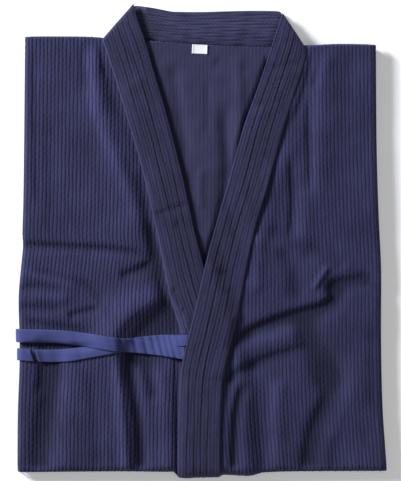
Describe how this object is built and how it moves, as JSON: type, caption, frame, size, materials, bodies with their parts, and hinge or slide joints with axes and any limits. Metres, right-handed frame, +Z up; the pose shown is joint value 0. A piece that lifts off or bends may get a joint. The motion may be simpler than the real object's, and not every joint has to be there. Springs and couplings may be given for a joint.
{
  "type": "folded martial arts jacket",
  "caption": "Ribbed navy cotton training jacket folded flat into a rectangle, with a quilted wrap collar, a neck opening, two flat ties and a blank size label.",
  "frame": {"origin": "centre of the bounding box's bottom face, on the table under the folded jacket", "axes": "+X to the right of the pack as seen from above (the wearer's left front), +Y from the lower fold to the neck, +Z up from the table"},
  "size_m": [0.5337, 0.6835, 0.0322],
  "materials": {
    "ribbed_cotton": "matt ribbed sashiko cotton, navy",
    "inside_cotton": "matt inner face of the same cotton",
    "quilted_cotton": "matt quilted cotton, stitched lengthwise",
    "tie_twill": "smooth twill, paler blue",
    "label_ribbon": "white woven ribbon, blank"
  },
  "bodies": {
    "root": {"front_right_body": "ribbed_cotton", "front_left_body": "ribbed_cotton", "back_body": "inside_cotton", "folded_under_layers": "ribbed_cotton", "collar_right_front": "quilted_cotton", "collar_left_front": "quilted_cotton", "collar_back_neck": "quilted_cotton", "tie_upper": "tie_twill", "tie_lower": "tie_twill", "size_label": "label_ribbon"}
  },
  "joints": []
}
